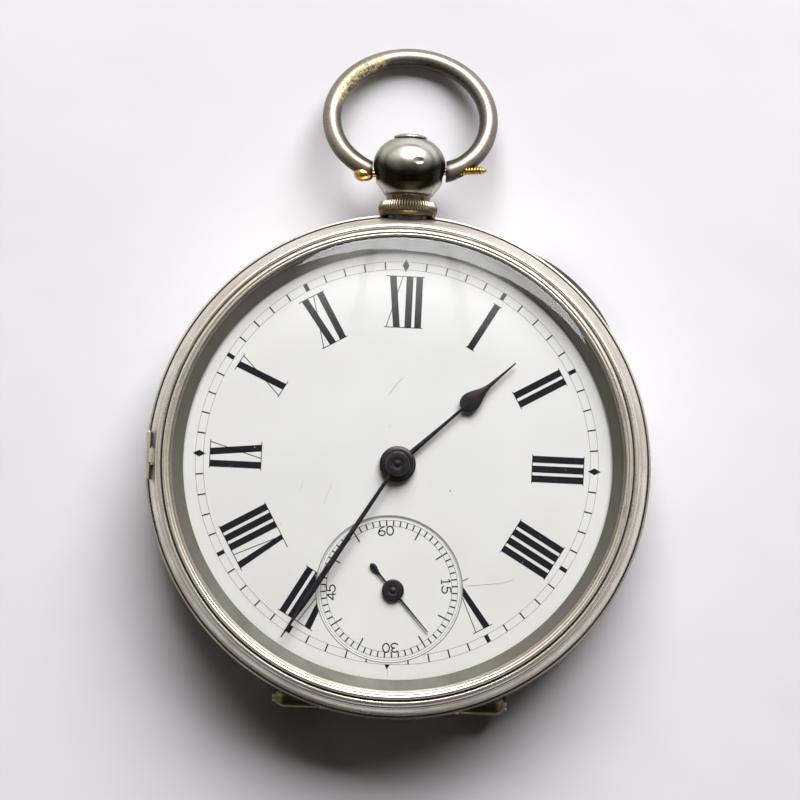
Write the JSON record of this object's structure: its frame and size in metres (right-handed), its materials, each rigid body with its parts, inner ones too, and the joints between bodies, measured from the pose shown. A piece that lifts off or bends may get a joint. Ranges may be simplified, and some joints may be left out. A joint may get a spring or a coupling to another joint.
{
  "type": "open face pocket watch",
  "caption": "Key-wound open face pocket watch with a sub-seconds dial, ball pendant with push button, oval bow, hinged bezel, hinged back and a full going train.",
  "frame": {"origin": "on the axis of the watch in the plane of its flat back", "axes": "+Z towards the glass, +Y towards 12 o'clock and the bow, +X towards 3 o'clock"},
  "size_m": [0.0498, 0.0673, 0.0134],
  "materials": {
    "silver": "worn polished silver, lightly tarnished",
    "silver_bow": "satin worn silver",
    "crystal": "clear domed glass",
    "enamel": "glossy fired enamel",
    "brass": "worn brass",
    "gilt": "frosted gilt",
    "steel": "polished steel",
    "blued_steel": "dark blued steel"
  },
  "bodies": {
    "body_case": {"case_middle": "silver", "pendant": "silver", "pendant_collar": "silver", "back_hinge_pin": "steel", "cuvette_hinge_pin": "steel", "bezel_hinge_pin": "steel", "main_plate": "gilt", "barrel_bridge": "gilt", "train_bridge": "gilt", "balance_cock": "gilt", "pallet_cock": "gilt", "dial": "enamel", "case_screw_1": "steel", "case_screw_2": "steel", "barrel_bridge_screw_1": "steel", "barrel_bridge_screw_2": "steel", "train_bridge_screw_1": "steel", "train_bridge_screw_2": "steel", "balance_cock_screw": "steel", "click_spring": "steel", "hairspring": "blued_steel", "hairspring_stud": "steel"},
    "bow_body": {"bow": "silver_bow", "bow_screw": "brass"},
    "button_body": {"push_button": "silver"},
    "lock_spring_body": {"lock_spring": "steel"},
    "bezel_body": {"bezel": "silver", "glass": "crystal"},
    "back_body": {"back_cover": "silver"},
    "cuvette_body": {"cuvette": "silver"},
    "winding_body": {"barrel_arbor": "steel", "ratchet_wheel": "steel"},
    "click_body": {"click": "steel"},
    "barrel_body": {"barrel": "gilt", "barrel_cover": "gilt", "mainspring": "steel"},
    "centre_body": {"centre_wheel": "gilt", "centre_arbor": "steel", "cannon_pinion": "steel", "minute_hand": "blued_steel"},
    "third_body": {"third_wheel": "gilt", "third_arbor": "steel"},
    "fourth_body": {"fourth_wheel": "gilt", "fourth_arbor": "steel", "seconds_hand": "blued_steel"},
    "escape_body": {"escape_wheel": "steel", "escape_arbor": "steel"},
    "minute_wheel_body": {"minute_wheel": "gilt"},
    "hour_body": {"hour_wheel": "gilt", "hour_hand": "blued_steel"},
    "pallet_body": {"pallet_fork": "steel", "pallet_arbor": "steel"},
    "balance_body": {"balance_wheel": "gilt", "balance_staff": "steel", "roller": "steel"},
    "regulator_body": {"regulator": "steel"}
  },
  "joints": [
    {"name": "bow_swing", "type": "hinge", "parent": "body_case", "child": "bow_body", "pos_m": [0, 0.0293, 0.00625], "axis": [1, 0, 0], "range_deg": [-77, 123]},
    {"name": "button_push", "type": "slide", "parent": "body_case", "child": "button_body", "axis": [0, -1, 0], "range_m": [0, 0.0005]},
    {"name": "lock_release", "type": "hinge", "parent": "body_case", "child": "lock_spring_body", "pos_m": [-0.0187, 0.0108, 0.0047], "axis": [0, 0, -1], "range_deg": [0, 1.45]},
    {"name": "bezel_open", "type": "hinge", "parent": "body_case", "child": "bezel_body", "pos_m": [-0.02445, 0, 0.0094], "axis": [0, -1, 0], "range_deg": [0, 100]},
    {"name": "back_open", "type": "hinge", "parent": "body_case", "child": "back_body", "pos_m": [0, -0.0232, 0.0032], "axis": [-1, 0, 0], "range_deg": [0, 95]},
    {"name": "cuvette_open", "type": "hinge", "parent": "body_case", "child": "cuvette_body", "pos_m": [0, -0.0206, 0.00275], "axis": [-1, 0, 0], "range_deg": [0, 76]},
    {"name": "winding_turn", "type": "hinge", "parent": "body_case", "child": "winding_body", "pos_m": [0.00713, 0.00713, 0.003], "axis": [0, 0, -1], "range_deg": [0, 1620]},
    {"name": "click_rock", "type": "hinge", "parent": "body_case", "child": "click_body", "pos_m": [0.01088, 0.00953, 0.0023], "axis": [0, 0, 1], "range_deg": [0, 8]},
    {"name": "centre_turn", "type": "hinge", "parent": "body_case", "child": "centre_body", "pos_m": [0, 0, 0.006], "axis": [0, 0, -1], "continuous": true},
    {"name": "barrel_turn", "type": "hinge", "parent": "body_case", "child": "barrel_body", "pos_m": [0.00713, 0.00713, 0.0045], "axis": [0, 0, -1], "continuous": true},
    {"name": "third_turn", "type": "hinge", "parent": "body_case", "child": "third_body", "pos_m": [0.00141, -0.00669, 0.005], "axis": [0, 0, -1], "continuous": true},
    {"name": "fourth_turn", "type": "hinge", "parent": "body_case", "child": "fourth_body", "pos_m": [0, -0.0123, 0.004], "axis": [0, 0, -1], "continuous": true},
    {"name": "escape_turn", "type": "hinge", "parent": "body_case", "child": "escape_body", "pos_m": [-0.00444, -0.01068, 0.005], "axis": [0, 0, -1], "continuous": true},
    {"name": "minute_wheel_turn", "type": "hinge", "parent": "body_case", "child": "minute_wheel_body", "pos_m": [-0.00346, 0.002, 0.008], "axis": [0, 0, -1], "continuous": true},
    {"name": "hour_turn", "type": "hinge", "parent": "body_case", "child": "hour_body", "pos_m": [0, 0, 0.0085], "axis": [0, 0, -1], "continuous": true},
    {"name": "pallet_rock", "type": "hinge", "parent": "body_case", "child": "pallet_body", "pos_m": [-0.00718, -0.00812, 0.0055], "axis": [0, 0, 1], "range_deg": [-4, 4]},
    {"name": "balance_swing", "type": "hinge", "parent": "body_case", "child": "balance_body", "pos_m": [-0.0105, -0.005, 0.004], "axis": [0, 0, 1], "range_deg": [-135, 135]},
    {"name": "regulator_turn", "type": "hinge", "parent": "body_case", "child": "regulator_body", "pos_m": [-0.0105, -0.005, 0.0022], "axis": [0, 0, 1], "range_deg": [-20, 20]}
  ],
  "couplings": [
    {"joint": "lock_release", "follows": "button_push", "rad_per_m": 50},
    {"joint": "cuvette_open", "follows": "back_open", "ratio": 0.8},
    {"joint": "centre_turn", "follows": "fourth_turn", "ratio": 0.016667},
    {"joint": "barrel_turn", "follows": "fourth_turn", "ratio": -0.0027778},
    {"joint": "third_turn", "follows": "fourth_turn", "ratio": -0.13333},
    {"joint": "escape_turn", "follows": "fourth_turn", "ratio": -8},
    {"joint": "minute_wheel_turn", "follows": "fourth_turn", "ratio": -0.0055556},
    {"joint": "hour_turn", "follows": "fourth_turn", "ratio": 0.0013889}
  ]
}
